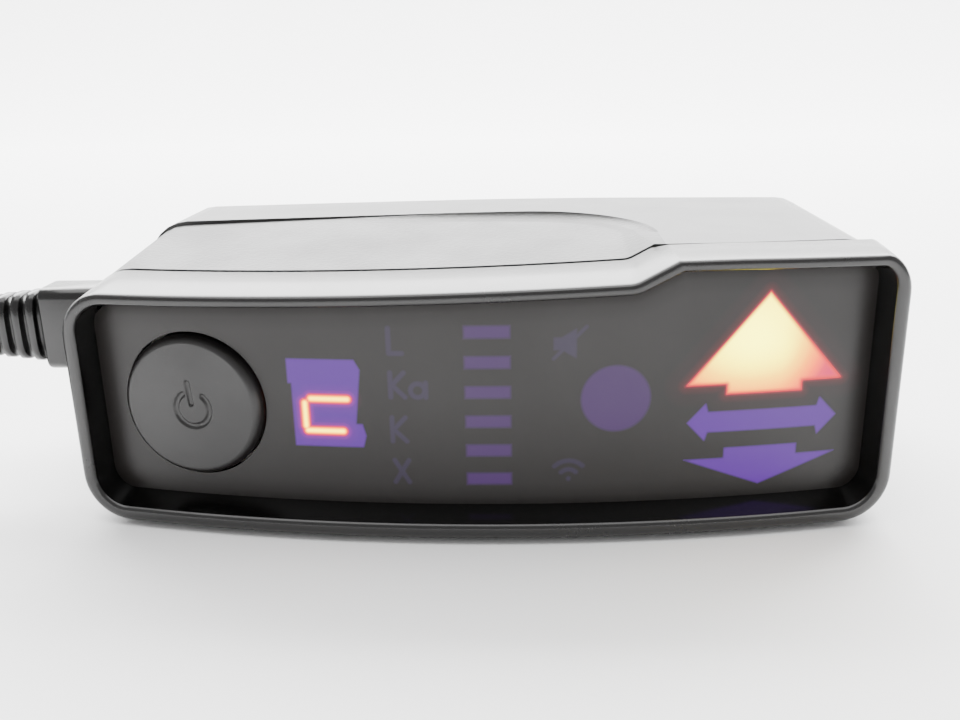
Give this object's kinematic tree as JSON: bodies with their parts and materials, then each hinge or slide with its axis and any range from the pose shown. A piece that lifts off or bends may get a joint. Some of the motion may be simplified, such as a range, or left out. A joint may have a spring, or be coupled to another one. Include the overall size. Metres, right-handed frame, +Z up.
{
  "type": "radar detector",
  "caption": "Low black dashboard radar detector with a curved smoked display, arrow lights, a round power button, a scooped top and a coiled 12 V vehicle lead.",
  "frame": {"origin": "middle of the feet's bottom plane, under the middle of the body without its lead", "axes": "+Z up, the display faces -Y, +X to the viewer's right in front of the display"},
  "size_m": [0.273, 0.0773, 0.0358],
  "materials": {
    "bezel_plastic": "satin black moulded plastic, glossy inside the lip",
    "case_plastic": "black moulded plastic with a fine leather-like grain",
    "lens_plastic": "smoked satin plastic",
    "window_plastic": "infrared-passing dark red plastic",
    "foot_rubber": "matt rubber",
    "screw_steel": "plated steel",
    "plate_film": "blank silver film",
    "button_plastic": "satin black plastic with an engraved icon",
    "white_plastic": "white moulded plastic",
    "switch_red": "red nylon",
    "chip_black": "moulded black resin",
    "board_green": "green solder mask",
    "display_grey": "grey display face",
    "lit_red": "lit red segments",
    "lit_amber": "lit arrow diffuser",
    "unlit_purple": "unlit violet diffuser",
    "led_yellow": "small light-emitting chips",
    "cast_zinc": "die-cast metal",
    "microwave_board": "bare microwave laminate",
    "tin_plate": "tin-plated steel",
    "spring_steel": "nickel-plated spring steel",
    "module_blue": "blue solder mask under a can",
    "speaker_steel": "zinc-plated steel basket",
    "cone_paper": "black paper cone",
    "clear_plastic": "clear moulded plastic",
    "gold_plate": "gold-plated blades",
    "plug_rubber": "soft black overmould",
    "cord_vinyl": "black vinyl jacket",
    "tie_plastic": "black twist tie",
    "car_plug_plastic": "black moulded plastic",
    "fuse_glass": "glass tube with metal ends"
  },
  "bodies": {
    "detector": {"front_bezel": "bezel_plastic", "upper_case": "case_plastic", "lower_case": "case_plastic", "display_lens": "lens_plastic", "rear_window": "window_plastic", "feet": "foot_rubber", "case_screws": "screw_steel", "display_screws": "screw_steel", "board_screws": "screw_steel", "rating_plate": "plate_film", "button_guide": "white_plastic", "light_mask": "white_plastic", "switch_body": "chip_black", "main_chips": "chip_black", "board_link": "chip_black", "laser_sensor": "chip_black", "power_jack": "chip_black", "button_board": "board_green", "display_board": "board_green", "main_board": "board_green", "digit_display": "display_grey", "digit_segments": "lit_red", "front_arrow_light": "lit_amber", "level_bars": "unlit_purple", "side_arrow_light": "unlit_purple", "rear_arrow_light": "unlit_purple", "light_sensor": "unlit_purple", "band_letter_lights": "led_yellow", "icon_lights": "led_yellow", "horn_antenna": "cast_zinc", "mixer_board": "microwave_board", "mixer_cover": "tin_plate", "tip_spring": "spring_steel", "wireless_module": "module_blue", "speaker_frame": "speaker_steel", "speaker_cone": "cone_paper", "modular_insert": "clear_plastic", "modular_contacts": "gold_plate", "plug_block": "plug_rubber", "lead_boot": "plug_rubber", "car_plug_boot": "plug_rubber", "lead_cord": "cord_vinyl", "lead_coil": "cord_vinyl", "coil_tie": "tie_plastic", "car_plug_shell": "car_plug_plastic", "car_plug_cap": "car_plug_plastic"},
    "power_button": {"power_button": "button_plastic"},
    "switch_plunger": {"switch_plunger": "switch_red"},
    "plug_tip": {"car_plug_tip": "tin_plate", "car_plug_fuse": "fuse_glass"},
    "front_contact": {"side_contact_front": "spring_steel"},
    "rear_contact": {"side_contact_rear": "spring_steel"}
  },
  "joints": [
    {"name": "button_press", "type": "slide", "parent": "detector", "child": "power_button", "axis": [0.167, 0.986, 0], "range_m": [0, 0.0005], "stiffness_N_per_m": 900},
    {"name": "switch_press", "type": "slide", "parent": "detector", "child": "switch_plunger", "axis": [0.167, 0.986, 0], "range_m": [0, 0.0005]},
    {"name": "plug_tip_press", "type": "slide", "parent": "detector", "child": "plug_tip", "axis": [1, 0, 0], "range_m": [0, 0.002], "stiffness_N_per_m": 600, "deforming": ["tip_spring"]},
    {"name": "front_contact_press", "type": "slide", "parent": "detector", "child": "front_contact", "axis": [0, 1, 0], "range_m": [0, 0.0008], "stiffness_N_per_m": 900},
    {"name": "rear_contact_press", "type": "slide", "parent": "detector", "child": "rear_contact", "axis": [0, -1, 0], "range_m": [0, 0.0008], "stiffness_N_per_m": 900}
  ],
  "couplings": [
    {"joint": "switch_press", "follows": "button_press", "ratio": 1}
  ]
}
